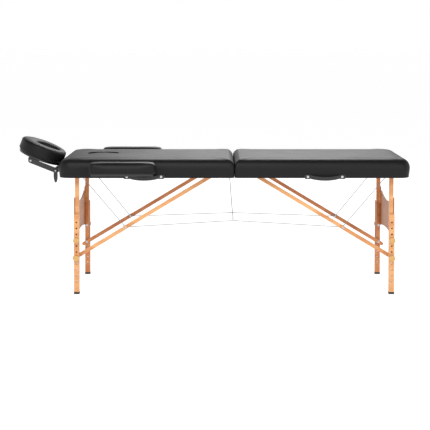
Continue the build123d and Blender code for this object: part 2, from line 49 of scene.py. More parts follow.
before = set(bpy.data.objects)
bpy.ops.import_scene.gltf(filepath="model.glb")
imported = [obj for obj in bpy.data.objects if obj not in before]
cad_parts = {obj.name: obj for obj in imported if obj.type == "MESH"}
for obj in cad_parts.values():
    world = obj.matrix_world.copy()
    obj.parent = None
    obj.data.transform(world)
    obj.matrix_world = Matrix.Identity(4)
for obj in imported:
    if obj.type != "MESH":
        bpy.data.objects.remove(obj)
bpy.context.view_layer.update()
ENDS = {"head": -1, "foot": 1}
SIDES = {"near": -1, "far": 1}
MM = 0.001
UP = (0, 0, 1)


# ---------------------------------------------------------------- settings


def length(name, description, default):
    """A size in metres that the sidebar shows."""
    return bpy.props.FloatProperty(
        name=name, description=description, default=default, unit="LENGTH", precision=4
    )


def colour(name, description, default):
    """A colour that the sidebar shows."""
    return bpy.props.FloatVectorProperty(
        name=name, description=description, default=default, size=3, subtype="COLOR", min=0, max=1
    )


class UpholsterySettings(bpy.types.PropertyGroup):
    edge_round: length("Edge round", "Radius of the foam's upper edge on the table top", 0.036)
    crown: length("Crown", "Furthest the table top's vinyl may swell when it is filled", 0.003)
    wall_swell: length("Wall swell", "How far the table top's sides bow outwards", 0.0045)
    end_corner: length("End corner", "Radius of the table top's outer corners", 0.060)
    seam_corner: length("Seam corner", "Radius of the corners at the centre seam", 0.014)
    vinyl_wall: length("Vinyl wall", "Thickness of the cover on the rails", 0.0021)
    voxel: length("Cloth spacing", "Mesh spacing of the table top's cloth", 0.009)
    fine_voxel: length("Fine cloth spacing", "Mesh spacing of the small cushions' cloth", 0.005)
    seam_radius: length("Seam radius", "Radius of a sewn piping seam", 0.0016)
    cradle_tilt: bpy.props.FloatProperty(
        name="Cradle tilt",
        description="Slope of the face cradle's cushion",
        default=math.radians(21.5),
        subtype="ANGLE",
    )


class CableSettings(bpy.types.PropertyGroup):
    radius: length("Cable radius", "Radius of the sheathed steel cable", 0.0016)
    sleeve_radius: length("Sleeve radius", "Radius of the crimped sleeves", 0.0027)
    sleeve_length: length("Sleeve length", "Length of the crimped sleeves", 0.014)


class FinishSettings(bpy.types.PropertyGroup):
    vinyl: colour("Vinyl", "Cover of the cushions", (0.0055, 0.0055, 0.0058))
    beech_light: colour("Beech, light", "Pale streaks of the beech", (0.73, 0.37, 0.145))
    beech_dark: colour("Beech, dark", "Dark streaks of the beech", (0.53, 0.195, 0.055))
    plywood: colour("Plywood", "Face of the end panels", (0.38, 0.125, 0.024))
    lacquer: colour("Lacquer", "Black lacquered wood", (0.008, 0.008, 0.008))
    steel: colour("Steel", "Zinc plated fittings", (0.5, 0.52, 0.56))


class StageSettings(bpy.types.PropertyGroup):
    lens: bpy.props.FloatProperty(
        name="Lens", description="Focal length in millimetres on a 36 mm sensor", default=88.86
    )
    pitch: bpy.props.FloatProperty(
        name="Pitch",
        description="How far the camera looks down",
        default=math.radians(9.25),
        subtype="ANGLE",
    )
    place: bpy.props.FloatVectorProperty(
        name="Camera place",
        description="Where the camera stands",
        default=(-0.1022, -5.8273, 1.3372),
        unit="LENGTH",
    )
    floor_size: length("Floor size", "Side of the studio floor", 400.0)


# ---------------------------------------------------------------- shader maths


class Channel:
    """A node's output that can be used in Python expressions."""

    def __init__(self, finish, socket):
        self.finish = finish
        self.socket = socket

    def _math(self, operation, *values):
        return self.finish.add("ShaderNodeMath", {"operation": operation}, dict(enumerate(values)))

    def __add__(self, other):
        return self._math("ADD", self, other)

    def __radd__(self, other):
        return self._math("ADD", other, self)

    def __sub__(self, other):
        return self._math("SUBTRACT", self, other)

    def __rsub__(self, other):
        return self._math("SUBTRACT", other, self)

    def __mul__(self, other):
        return self._math("MULTIPLY", self, other)

    def __rmul__(self, other):
        return self._math("MULTIPLY", other, self)


class Finish:
    """One material, or the world, and its node tree."""

    def __init__(self, name, kind="materials"):
        self.owner = getattr(bpy.data, kind).new(name)
        self.owner.use_nodes = True
        self.tree = self.owner.node_tree
        self.tree.nodes.clear()

    def add(self, kind, settings=None, inputs=None, output=0):
        """Make any node: its settings first, then its inputs as values or channels."""
        node = self.tree.nodes.new(kind)
        for key, value in (settings or {}).items():
            if key == "stops":
                self._set_stops(node.color_ramp, value)
            else:
                setattr(node, key, value)
        for key, value in (inputs or {}).items():
            if isinstance(value, Channel):
                self.tree.links.new(value.socket, node.inputs[key])
            else:
                node.inputs[key].default_value = value
        return Channel(self, node.outputs[output])

    @staticmethod
    def _set_stops(ramp, stops):
        while len(ramp.elements) < len(stops):
            ramp.elements.new(0.5)
        for element, (place, rgb) in zip(ramp.elements, stops):
            element.position = place
            element.color = (*rgb, 1)

    def object_coordinates(self, turn=(0, 0, 0), scale=(1, 1, 1)):
        place = self.add("ShaderNodeTexCoord", output="Object")
        return self.add("ShaderNodeMapping", None, {"Vector": place, "Rotation": turn, "Scale": scale})

    def noise(self, vector, scale, detail=4.0, roughness=0.55, distortion=0.0):
        inputs = {
            "Vector": vector,
            "Scale": scale,
            "Detail": detail,
            "Roughness": roughness,
            "Distortion": distortion,
        }
        return self.add("ShaderNodeTexNoise", None, inputs)

    def ramp(self, value, stops):
        return self.add("ShaderNodeValToRGB", {"stops": stops}, {"Fac": value})

    def mix(self, factor, first, second, blend="MIX"):
        settings = {"data_type": "RGBA", "blend_type": blend}
        first = first if isinstance(first, Channel) else (*first, 1)
        second = second if isinstance(second, Channel) else (*second, 1)
        return self.add("ShaderNodeMix", settings, {0: factor, 6: first, 7: second}, output=2)

    def bump(self, height, strength, distance):
        return self.add(
            "ShaderNodeBump", None, {"Height": height, "Strength": strength, "Distance": distance}
        )

    def surface(self, **inputs):
        """The principled shader and the material's output; names are its sockets'."""
        named = {key.replace("_", " "): value for key, value in inputs.items()}
        for key, value in named.items():
            if isinstance(value, tuple) and len(value) == 3 and "Color" in key:
                named[key] = (*value, 1)
        shader = self.add("ShaderNodeBsdfPrincipled", None, named)
        self.add_output(shader)
        return self.owner

    def add_output(self, shader, kind="ShaderNodeOutputMaterial"):
        node = self.tree.nodes.new(kind)
        self.tree.links.new(shader.socket, node.inputs["Surface"])


# ---------------------------------------------------------------- finishes


def vinyl(name, tint, cell=420.0, gloss=0.42):
    """Soft black vinyl with a fine pebbled grain, faint creases and worn sheen."""
    f = Finish(name)
    at = f.object_coordinates()
    warp = f.noise(at, 60, 2)
    grain = f.add(
        "ShaderNodeTexVoronoi",
        {"feature": "SMOOTH_F1"},
        {"Vector": at, "Scale": cell, "Smoothness": 0.6},
    )
    pebble = f.add(
        "ShaderNodeTexVoronoi", {"feature": "DISTANCE_TO_EDGE"}, {"Vector": at, "Scale": cell * 0.55}
    )
    crease = f.noise(at, 14, 5, 0.6, 0.4)
    height = grain * 0.5 + pebble * 0.35 + crease * 2.2 + warp * 0.3
    cloud = f.noise(at, 5, 3)
    light = tuple(min(1, c * 1.7) for c in tint)
    base = f.mix(cloud * 0.9, tint, light)
    base = f.mix(pebble * 0.5, base, tuple(c * 2.0 for c in tint))
    rough = gloss + 0.1 * cloud + 0.06 * grain
    return f.surface(
        Base_Color=base,
        Roughness=rough,
        Normal=f.bump(height, 0.28, 0.0006),
        Specular_IOR_Level=0.2,
    )


# Painted shade: the boards on the far side, which the table top shades, are darkened and reddened by
# multiplying their colour by this.
FAR_SIDE_PAINTED_SHADE = (0.74, 0.56, 0.42)
BRACE_SLOPE = math.radians(31.06)


def beech(name, turn, light, dark, gloss=0.36):
    """Lacquered beech with long streaks, short flecks and open pores along the turned axis, and painted
    shade on the far side's boards.
    """
    f = Finish(name)
    long_grain = f.object_coordinates(turn, (1.6, 26, 26))
    streak = f.noise(long_grain, 1.0, 6, 0.62, 0.7)
    rings = f.add(
        "ShaderNodeTexWave",
        {"wave_type": "BANDS", "bands_direction": "Y"},
        {"Vector": long_grain, "Scale": 0.55, "Distortion": 7.0, "Detail": 3.0, "Detail Scale": 1.2},
    )
    fleck_at = f.object_coordinates(turn, (60, 700, 700))
    fleck = f.noise(fleck_at, 1.0, 2, 0.5)
    pores = f.ramp(fleck, [(0.58, (0, 0, 0)), (0.7, (1, 1, 1))])
    tone = f.noise(f.object_coordinates(turn, (0.8, 3, 3)), 1.3, 2)
    value = streak * 0.6 + rings * 0.25 + tone * 0.3 - 0.08
    colours = [(0.32, light), (0.52, tuple((a + b) / 2 for a, b in zip(light, dark))), (0.78, dark)]
    base = f.ramp(value, colours)
    base = f.mix(pores * 0.35, base, tuple(c * 0.6 for c in dark))
    # Painted shade: parts past the table's middle (object Y above zero) have their colour multiplied by
    # the far-side shade tone.
    across = f.add("ShaderNodeSeparateXYZ", None, {"Vector": f.object_coordinates()}, output="Y")
    far_shade_mask = f.ramp(across + 0.5, [(0.45, (0, 0, 0)), (0.55, (1, 1, 1))])
    base = f.mix(far_shade_mask, base, FAR_SIDE_PAINTED_SHADE, "MULTIPLY")
    rough = gloss + 0.12 * streak + 0.1 * pores
    height = 0.5 * streak - 0.6 * pores
    return f.surface(
        Base_Color=base,
        Roughness=rough,
        Normal=f.bump(height, 0.25, 0.0004),
        Coat_Weight=0.25,
        Coat_Roughness=0.22,
    )


def plywood(name, light, dark):
    """Rotary cut plywood face with broad wandering figure."""
    f = Finish(name)
    at = f.object_coordinates((0, 0, 0), (14, 2.2, 14))
    figure = f.noise(at, 1.2, 5, 0.6, 1.4)
    lines = f.noise(f.object_coordinates((0, 0, 0), (260, 8, 260)), 1.0, 3)
    value = figure * 0.75 + lines * 0.35 - 0.05
    base = f.ramp(value, [(0.35, light), (0.72, dark)])
    height = lines + figure
    return f.surface(
        Base_Color=base,
        Roughness=0.42 + 0.15 * lines,
        Normal=f.bump(height, 0.2, 0.0003),
        Coat_Weight=0.15,
        Coat_Roughness=0.3,
    )


def lacquered_black(name, tint):
    """Black lacquer over wood, with faint grain showing through and rubbed edges."""
    f = Finish(name)
    grain = f.noise(f.object_coordinates((0, 0, 0), (4, 90, 90)), 1.0, 4)
    rub = f.noise(f.object_coordinates(), 40, 3)
    return f.surface(
        Base_Color=f.mix(rub * 0.6, tint, tuple(c * 2.6 for c in tint)),
        Roughness=0.34 + 0.16 * rub,
        Normal=f.bump(grain, 0.15, 0.0003),
        Coat_Weight=0.2,
        Coat_Roughness=0.25,
    )


def moulded_plastic(name, tint, gloss=0.45):
    """Fine spark-eroded moulding texture."""
    f = Finish(name)
    speck = f.noise(f.object_coordinates(), 900, 2)
    scuff = f.noise(f.object_coordinates(), 30, 4)
    return f.surface(
        Base_Color=f.mix(scuff * 0.7, tint, tuple(c * 2.2 for c in tint)),
        Roughness=gloss + 0.15 * scuff,
        Normal=f.bump(speck, 0.15, 0.0002),
    )


def plated_steel(name, tint, gloss=0.24):
    """Zinc or nickel plate with faint turning marks and handling smudges."""
    f = Finish(name)
    marks = f.noise(f.object_coordinates((0, 0, 0), (900, 900, 90)), 1.0, 2)
    smudge = f.noise(f.object_coordinates(), 55, 3)
    return f.surface(
        Base_Color=f.mix(smudge * 0.5, tint, tuple(c * 0.72 for c in tint)),
        Metallic=1.0,
        Roughness=gloss + 0.14 * smudge,
        Normal=f.bump(marks, 0.1, 0.0002),
    )


def rubber(name):
    """Matt black rubber, dusty on its lower edge."""
    f = Finish(name)
    dust = f.noise(f.object_coordinates(), 70, 4)
    return f.surface(
        Base_Color=f.mix(dust * 0.8, (0.012, 0.012, 0.012), (0.03, 0.029, 0.027)),
        Roughness=0.72 + 0.15 * dust,
        Normal=f.bump(dust, 0.3, 0.0005),
    )


def stranded_cable(name):
    """Steel strands under a clear sheath."""
    f = Finish(name)
    strands = f.add(
        "ShaderNodeTexWave",
        {"wave_type": "BANDS", "bands_direction": "DIAGONAL"},
        {"Vector": f.object_coordinates(), "Scale": 180.0, "Distortion": 0.5},
    )
    return f.surface(
        Base_Color=f.mix(strands, (0.13, 0.135, 0.14), (0.3, 0.31, 0.32)),
        Metallic=0.35,
        Roughness=0.3 + 0.15 * strands,
        Normal=f.bump(strands, 0.4, 0.0004),
        Coat_Weight=0.4,
        Coat_Roughness=0.15,
    )


FINISHES = {}


def settings(group):
    return getattr(bpy.context.scene, f"massage_{group}")


def make_finishes():
    """Every material, made once."""
    tone = settings("finishes")
    upright = (0, math.radians(90), 0)
    light, dark = tuple(tone.beech_light), tuple(tone.beech_dark)
    FINISHES.update(
        vinyl=vinyl("cushion_vinyl", tuple(tone.vinyl)),
        legs=beech("leg_beech", upright, light, dark),
        rails=beech("rail_beech", (0, 0, 0), light, dark),
        head_braces=beech("head_brace_beech", (0, -BRACE_SLOPE, 0), light, dark),
        foot_braces=beech("foot_brace_beech", (0, BRACE_SLOPE, 0), light, dark),
        knobs=beech("knob_beech", upright, (0.68, 0.4, 0.13), (0.52, 0.27, 0.08), 0.3),
        panel=plywood("panel_plywood", tuple(tone.plywood), tuple(c * 0.62 for c in tone.plywood)),
        deck=plywood("deck_plywood", (0.62, 0.43, 0.25), (0.44, 0.28, 0.15)),
        lacquer=lacquered_black("black_lacquer", tuple(tone.lacquer)),
        strap=moulded_plastic("strap_plastic", (0.01, 0.01, 0.01), 0.5),
        lever=moulded_plastic("lever_plastic", (0.012, 0.012, 0.012), 0.38),
        steel=plated_steel("plated_steel", tuple(tone.steel)),
        chrome=plated_steel("nickel_plate", (0.6, 0.6, 0.61), 0.26),
        rubber=rubber("foot_rubber"),
        cable=stranded_cable("cable_steel"),
    )


def node_finish(name):
    """Which finish a CAD node takes."""
    rules = (
        ("_knob_", "knobs"),
        ("_foot_", "rubber"),
        ("leg_bolts", "steel"),
        ("leg_panel", "panel"),
        ("upper_legs", "legs"),
        ("lower_leg_", "legs"),
        ("_frame", "rails"),
        ("_deck", "deck"),
        ("_fasteners", "chrome"),
        ("_handle", "strap"),
        ("cradle_lever", "lever"),
        ("cradle_rods", "steel"),
        ("cradle_pins", "steel"),
        ("cradle_", "lacquer"),
        ("armrest_", "lacquer"),
        ("hinges", "steel"),
        ("knee_", "steel"),
        ("cable_anchors", "steel"),
        ("cable_", "cable"),
        ("_skirt", "vinyl"),
        ("_pad", "vinyl"),
        ("face_plug", "vinyl"),
    )
    if name.endswith("_braces"):
        return name.split("_")[0] + "_braces"
    return next(finish for part, finish in rules if part in name)


# ---------------------------------------------------------------- modelling by hand


def deselect():
    if bpy.context.object and bpy.context.object.mode == "EDIT":
        bpy.ops.object.mode_set(mode="OBJECT")
    bpy.ops.object.select_all(action="DESELECT")


def pick(piece):
    """Make one object the only selected one."""
    deselect()
    bpy.context.view_layer.objects.active = piece
    piece.select_set(True)


def settle(piece, name=None):
    """Give the piece its name and put its place into its mesh."""
    if name:
        piece.name = name
        piece.data.name = name
    pick(piece)
    bpy.ops.object.transform_apply(location=True, rotation=True, scale=True)
    return piece


def block(name, low, high):
    """A box between two corners, ready to be shaped."""
    low, high = Vector(low), Vector(high)
    deselect()
    bpy.ops.mesh.primitive_cube_add(size=1, location=(low + high) / 2, scale=high - low)
    return settle(bpy.context.object, name)


def bevel_where(piece, chosen, width, segments):
    """Round the edges that chosen(first, second) says, given their two corners."""
    pick(piece)
    bpy.ops.object.mode_set(mode="EDIT")
    bpy.ops.mesh.select_mode(type="EDGE")
    bpy.ops.mesh.select_all(action="DESELECT")
    mesh = bmesh.from_edit_mesh(piece.data)
    for edge in mesh.edges:
        edge.select_set(chosen(edge.verts[0].co, edge.verts[1].co))
    bmesh.update_edit_mesh(piece.data)
    bpy.ops.mesh.bevel(offset=width, segments=segments, profile=0.5, affect="EDGES")
    bpy.ops.object.mode_set(mode="OBJECT")


def apply_modifier(piece, kind, **values):
    """Add a modifier with its values and apply it."""
    pick(piece)
    modifier = piece.modifiers.new(kind.title(), kind)
    for key, value in values.items():
        setattr(modifier, key, value)
    bpy.ops.object.modifier_apply(modifier=modifier.name)


def smooth(piece):
    pick(piece)
    bpy.ops.object.shade_smooth()


def cut(piece, cutter):
    """Take the cutter's shape out of the piece."""
    apply_modifier(piece, "BOOLEAN", operation="DIFFERENCE", object=cutter, solver="MANIFOLD")
    bpy.data.objects.remove(cutter, do_unlink=True)


def inflate(piece, voxel, cap, held, pressure=4.0, frames=20):
    """Fill a closed form like a stuffed cover: remesh, simulate as cloth, limit how far it swells."""
    pick(piece)
    piece.data.remesh_voxel_size = voxel
    bpy.ops.object.voxel_remesh()
    rest = [v.co.copy() for v in piece.data.vertices]
    group = piece.vertex_groups.new(name="held")
    for vertex in piece.data.vertices:
        group.add([vertex.index], held(vertex.co), "REPLACE")
    cloth = piece.modifiers.new("Cloth", "CLOTH")
    fabric = cloth.settings
    fabric.quality = 4
    fabric.mass = 0.25
    fabric.tension_stiffness = 18
    fabric.compression_stiffness = 18
    fabric.shear_stiffness = 8
    fabric.bending_stiffness = 1.5
    fabric.use_pressure = True
    fabric.uniform_pressure_force = pressure
    fabric.vertex_group_mass = "held"
    fabric.effector_weights.gravity = 0
    cloth.point_cache.frame_start = 1
    cloth.point_cache.frame_end = frames
    for step in range(1, frames + 1):
        bpy.context.scene.frame_set(step)
    pick(piece)
    bpy.ops.object.modifier_apply(modifier=cloth.name)
    bpy.context.scene.frame_set(1)
    for vertex, start in zip(piece.data.vertices, rest):
        move = vertex.co - start
        if move.length > cap:
            vertex.co = start + move * (cap / move.length)
    piece.vertex_groups.clear()
    apply_modifier(piece, "SMOOTH", factor=0.5, iterations=3)
    apply_modifier(piece, "SUBSURF", levels=1, render_levels=1)
    smooth(piece)


def piping(name, piece, place, normal, radius):
    """A round seam along the line where a plane meets the piece's surface."""
    pick(piece)
    bpy.ops.object.duplicate()
    line = bpy.context.object
    line.name = name
    bpy.ops.object.mode_set(mode="EDIT")
    bpy.ops.mesh.select_all(action="SELECT")
    bpy.ops.mesh.bisect(plane_co=place, plane_no=normal, clear_inner=True, clear_outer=True)
    bpy.ops.object.mode_set(mode="OBJECT")
    bpy.ops.object.convert(target="CURVE")
    line = bpy.context.object
    line.data.bevel_depth = radius
    line.data.bevel_resolution = 2
    bpy.ops.object.convert(target="MESH")
    line = settle(bpy.context.object, name)
    smooth(line)
    return line


def dress(piece, finish, body):
    """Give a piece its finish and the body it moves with."""
    piece.data.materials.clear()
    piece.data.materials.append(FINISHES[finish])
    if body:
        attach(piece, body)
    return piece


def rod(name, start, end, radius, vertices=20, bevel=0.0006):
    """A round bar with softened ends between two points."""
    start, end = Vector(start), Vector(end)
    along = end - start
    deselect()
    bpy.ops.mesh.primitive_cylinder_add(
        radius=radius,
        depth=along.length,
        vertices=vertices,
        location=(start + end) / 2,
        rotation=along.to_track_quat("Z", "Y").to_euler(),
    )
    piece = settle(bpy.context.object, name)
    apply_modifier(piece, "BEVEL", width=bevel, segments=2, limit_method="ANGLE")
    smooth(piece)
    return piece


def join(name, pieces):
    """Join loose pieces into one object."""
    deselect()
    for piece in pieces:
        piece.select_set(True)
    bpy.context.view_layer.objects.active = pieces[0]
    bpy.ops.object.join()
    joined = bpy.context.object
    joined.name = name
    joined.data.name = name
    return joined


# ---------------------------------------------------------------- operators


class MASSAGE_OT_stage(bpy.types.Operator):
    """Camera, pale floor and soft studio light"""

    bl_idname = "massage.stage"
    bl_label = "Stage"

    # Each lamp: where it stands, how it is turned in degrees, its side in metres, its watts.
    LAMPS = {
        "key": ((-1.2, -4.6, 4.6), (46, 0, -12), 2.6, 205),
        "fill": ((3.4, -5.2, 2.2), (72, 0, 34), 2.2, 60),
        "back": ((0.5, 4.6, 3.6), (-52, 0, 0), 3.0, 120),
    }
    SKY = ((0.0, (1, 1, 1)), (0.32, (1, 1, 1)), (0.62, (0.1, 0.1, 0.1)))
    FLOOR_GLOW = 0.84
    FLOOR_DROP = 0.5 * MM

    def execute(self, context):
        stage = settings("stage")
        context.scene.view_settings.view_transform = "Standard"
        deselect()
        bpy.ops.object.camera_add(
            location=tuple(stage.place), rotation=(math.radians(90) - stage.pitch, 0, 0)
        )
        camera = context.object
        camera.data.lens = stage.lens
        camera.data.sensor_width = 36
        camera.data.clip_end = 200
        context.scene.camera = camera
        self.floor(stage.floor_size)
        for name, lamp in self.LAMPS.items():
            self.light(name, *lamp)
        self.world(context.scene)
        return {"FINISHED"}

    def floor(self, size):
        deselect()
        bpy.ops.mesh.primitive_plane_add(size=size, location=(0, 0, -self.FLOOR_DROP))
        floor = bpy.context.object
        floor.name = "studio_floor"
        paper = Finish("studio_paper")
        tooth = paper.noise(paper.object_coordinates(), 30, 3)
        paper.surface(
            Base_Color=(0.4, 0.4, 0.4),
            Roughness=0.8 + 0.05 * tooth,
            Specular_IOR_Level=0.1,
            Emission_Color=(1, 1, 1),
            Emission_Strength=self.FLOOR_GLOW,
        )
        floor.data.materials.append(paper.owner)

    def light(self, name, place, turn, size, power):
        deselect()
        rotation = [math.radians(degrees) for degrees in turn]
        bpy.ops.object.light_add(type="AREA", location=place, rotation=rotation)
        lamp = bpy.context.object
        lamp.name = f"light_{name}"
        lamp.data.size = size
        lamp.data.energy = power

    def world(self, scene):
        """White all round the horizon, and a dark ceiling that keeps the top's vinyl black."""
        sky = Finish("studio", "worlds")
        scene.world = sky.owner
        direction = sky.add("ShaderNodeTexCoord", output="Generated")
        height = sky.add("ShaderNodeSeparateXYZ", None, {"Vector": direction}, output="Z")
        tone = sky.ramp(height, self.SKY)
        light = sky.add("ShaderNodeBackground", None, {"Color": tone, "Strength": 1.0})
        sky.add_output(light, "ShaderNodeOutputWorld")


class MASSAGE_OT_finishes(bpy.types.Operator):
    """Wood, metal, plastic and rubber finishes on the frame's own parts"""

    bl_idname = "massage.finishes"
    bl_label = "Finishes"

    def execute(self, context):
        make_finishes()
        for name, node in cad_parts.items():
            finish = FINISHES[node_finish(name)]
            for slot in node.material_slots:
                slot.material = finish
        return {"FINISHED"}


class MASSAGE_OT_top_cushions(bpy.types.Operator):
    """Padded top of each section, its vinyl pulled down over the rails"""

    bl_idname = "massage.top_cushions"
    bl_label = "Top cushions"

    SPARE = 20 * MM
    LIP = 17 * MM
    LIP_THICK = 1.6 * MM
    HOLE_GAP = 3.5 * MM
    HELD_HEIGHT = 5 * MM      # the cover is glued to the foam up to this height over the deck
    CUTTER_SPARE = 50 * MM    # how far a cutter stands past what it cuts
    BULGE_HEIGHT = 1.25       # above 1, the sides bow out furthest over their middle
    PIPING_RISE = 2.6 * MM

    def execute(self, context):
        for end in ENDS:
            self.section(end, settings("upholstery"))
        return {"FINISHED"}

    def section(self, end, size):
        low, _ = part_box(f"{end}_cover_skirt")
        pad_low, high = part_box(f"{end}_pad")
        sign = ENDS[end]
        seam = low.x if sign > 0 else high.x
        far = high.x if sign > 0 else low.x
        top = high.z + MM
        piece = block(f"{end}_upholstery", (low.x, low.y, low.z - self.SPARE), (high.x, high.y, top))
        self.round_plan(piece, far, seam, size)
        bevel_where(piece, lambda a, b: min(a.z, b.z) > top - MM, size.edge_round, 8)
        held_below = pad_low.z + self.HELD_HEIGHT
        inflate(piece, size.voxel, size.crown, lambda p: 1.0 if p.z < held_below else 0.0, 3.0)
        self.bow_walls(piece, low.z, high.z, seam, sign, size.wall_swell)
        self.trim_below(piece, low.z)
        cut(piece, self.cavity(end, low, high, pad_low.z, size))
        if end == "head":
            spare = self.CUTTER_SPARE
            cut(piece, self.face_opening(pad_low.z - 4 * spare, high.z + 2 * spare))
            self.face_rim(high.z, size)
        smooth(piece)
        dress(piece, "vinyl", f"{end}_section")
        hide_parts(f"{end}_pad", f"{end}_cover_skirt")

    @staticmethod
    def round_plan(piece, far, seam, size, inset=0.0):
        """Round the upright corners: widely at the table's end, tightly at the seam."""
        upright = lambda a, b: abs(a.z - b.z) > 20 * MM
        outer, inner = size.end_corner - inset, size.seam_corner - 0.5 * inset
        bevel_where(piece, lambda a, b: upright(a, b) and abs(a.x - far) < MM, outer, 12)
        bevel_where(piece, lambda a, b: upright(a, b) and abs(a.x - seam) < MM, inner, 6)

    def bow_walls(self, piece, bottom, top, seam, sign, swell):
        """Bow the sides outwards between their edges, and keep the seam's wall on its side."""
        normals = [vertex.normal.copy() for vertex in piece.data.vertices]
        for vertex, normal in zip(piece.data.vertices, normals):
            place = vertex.co
            height = min(max((place.z - bottom) / (top - bottom), 0), 1)
            normal.z = 0
            place += normal * swell * math.sin(math.pi * height**self.BULGE_HEIGHT)
            if (place.x - seam) * sign < 0:
                place.x = seam

    @staticmethod
    def trim_below(piece, bottom):
        """Cut the cover off straight along the rails' lower edge."""
        pick(piece)
        bpy.ops.object.mode_set(mode="EDIT")
        bpy.ops.mesh.select_all(action="SELECT")
        bpy.ops.mesh.bisect(plane_co=(0, 0, bottom), plane_no=UP, use_fill=True, clear_inner=True)
        bpy.ops.object.mode_set(mode="OBJECT")

    def face_opening(self, low_z, high_z):
        plug_low, plug_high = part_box("face_plug")
        gap = self.HOLE_GAP
        opening = block(
            "opening",
            (plug_low.x - gap, plug_low.y - gap, low_z),
            (plug_high.x + gap, plug_high.y + gap, high_z),
        )
        radius = (plug_high.y - plug_low.y) / 2 + gap - MM
        bevel_where(opening, lambda a, b: abs(a.z - b.z) > 20 * MM, radius, 14)
        return opening

    def face_rim(self, top, size):
        """Sewn piping round the face opening."""
        form = self.face_opening(top - self.CUTTER_SPARE, top + self.CUTTER_SPARE)
        line = (0, 0, top + self.PIPING_RISE)
        rim = piping("face_opening_piping", form, line, UP, size.seam_radius)
        bpy.data.objects.remove(form, do_unlink=True)
        dress(rim, "vinyl", "head_section")

    def cavity(self, end, low, high, deck_z, size):
        """The space that the rails and the deck fill, open below inside the turned-in lip."""
        wall, lip = size.vinyl_wall, self.LIP
        inner_low = (low.x + wall, low.y + wall, low.z + self.LIP_THICK)
        inner_high = (high.x - wall, high.y - wall, deck_z + 0.1 * MM)
        room = block("room", inner_low, inner_high)
        sides = (inner_high[0], inner_low[0])
        far, seam = sides if ENDS[end] > 0 else sides[::-1]
        self.round_plan(room, far, seam, size, wall)
        mouth_low = (low.x + lip, low.y + lip, low.z - self.CUTTER_SPARE)
        mouth_high = (high.x - lip, high.y - lip, low.z + 5 * MM)
        mouth = block("mouth", mouth_low, mouth_high)
        apply_modifier(room, "BOOLEAN", operation="UNION", object=mouth, solver="MANIFOLD")
        bpy.data.objects.remove(mouth, do_unlink=True)
        return room


class MASSAGE_OT_face_plug(bpy.types.Operator):
    """Padded plug that fills the face opening"""

    bl_idname = "massage.face_plug"
    bl_label = "Face plug"

    def execute(self, context):
        size = settings("upholstery")
        low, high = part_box("face_plug")
        piece = block("face_plug_cushion", low, high)
        radius = (high.y - low.y) / 2 - 2 * MM
        bevel_where(piece, lambda a, b: abs(a.z - b.z) > 20 * MM, radius, 14)
        top = high.z - MM
        bevel_where(piece, lambda a, b: min(a.z, b.z) > top, 6 * MM, 5)
        inflate(piece, 0.004, 3 * MM, lambda p: 1.0 if p.z < low.z + 20 * MM else 0.0)
        dress(piece, "vinyl", "face_plug")
        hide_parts("face_plug")
        return {"FINISHED"}


class MASSAGE_OT_armrests(bpy.types.Operator):
    """Two stuffed armrest cushions with sewn edges"""

    bl_idname = "massage.armrests"
    bl_label = "Armrests"

    def execute(self, context):
        for side in SIDES:
            self.cushion(side, settings("upholstery"))
        return {"FINISHED"}

    def cushion(self, side, size):
        low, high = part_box(f"armrest_{side}_cushion")
        shrink = Vector((1.5 * MM, 1.5 * MM, 0))
        top = high.z - MM
        piece = block(f"armrest_{side}_pad", low + shrink, Vector((*(high - shrink).xy, top)))
        bevel_where(piece, lambda a, b: abs(a.z - b.z) > 20 * MM, 24 * MM, 8)
        bevel_where(piece, lambda a, b: min(a.z, b.z) > top - MM, 15 * MM, 6)
        bevel_where(piece, lambda a, b: max(a.z, b.z) < low.z + MM, 8 * MM, 4)
        inflate(piece, size.fine_voxel, 3.5 * MM, lambda p: 1.0 if p.z < low.z + 3 * MM else 0.0, 4.0)
        seam = piping(
            f"armrest_{side}_seam", piece, (0, 0, low.z + 9 * MM), UP, 0.7 * size.seam_radius
        )
        for part in (piece, seam):
            dress(part, "vinyl", f"armrest_{side}")
        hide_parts(f"armrest_{side}_cushion")


class MASSAGE_OT_cradle_cushion(bpy.types.Operator):
    """Stuffed ring cushion of the face cradle, with its two sewn seams"""

    bl_idname = "massage.cradle_cushion"
    bl_label = "Cradle cushion"

    HALF = (0.127, 0.145)
    HOLE = (0.062, 0.050)
    HOLE_SHIFT = 0.020
    THICK = 0.070

    def execute(self, context):
        size = settings("upholstery")
        low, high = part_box("cradle_cushion")
        centre = (low + high) / 2
        ring = self.disc("cradle_ring", self.HALF, MM, self.THICK - 2 * MM)
        hole = self.disc("cradle_hole", self.HOLE, -MM, self.THICK * 2)
        hole.location.x = self.HOLE_SHIFT
        cut(ring, settle(hole))
        rim = self.THICK / 2 - 3 * MM
        bevel_where(ring, lambda a, b: min(a.z, b.z) > rim, 16 * MM, 6)
        bevel_where(ring, lambda a, b: max(a.z, b.z) < -rim, 12 * MM, 4)
        inflate(ring, size.fine_voxel, 4 * MM, lambda p: 1.0 if p.z < -rim else 0.0, 4.0)
        seam_places = {"upper": self.THICK / 2 - 12 * MM, "lower": 14 * MM - self.THICK / 2}
        seams = [
            piping(f"cradle_seam_{name}", ring, (0, 0, height), UP, 0.8 * size.seam_radius)
            for name, height in seam_places.items()
        ]
        for piece in (ring, *seams):
            self.place(piece, centre, size.cradle_tilt)
            dress(piece, "vinyl", "cradle_platform")
        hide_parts("cradle_cushion")
        return {"FINISHED"}

    @staticmethod
    def disc(name, half, shrink, thick):
        deselect()
        bpy.ops.mesh.primitive_cylinder_add(
            vertices=72, radius=1, depth=thick, scale=(half[0] - shrink, half[1] - shrink, 1)
        )
        return settle(bpy.context.object, name)

    @staticmethod
    def place(piece, centre, tilt):
        piece.rotation_euler = (0, tilt, 0)
        piece.location = centre
        settle(piece)


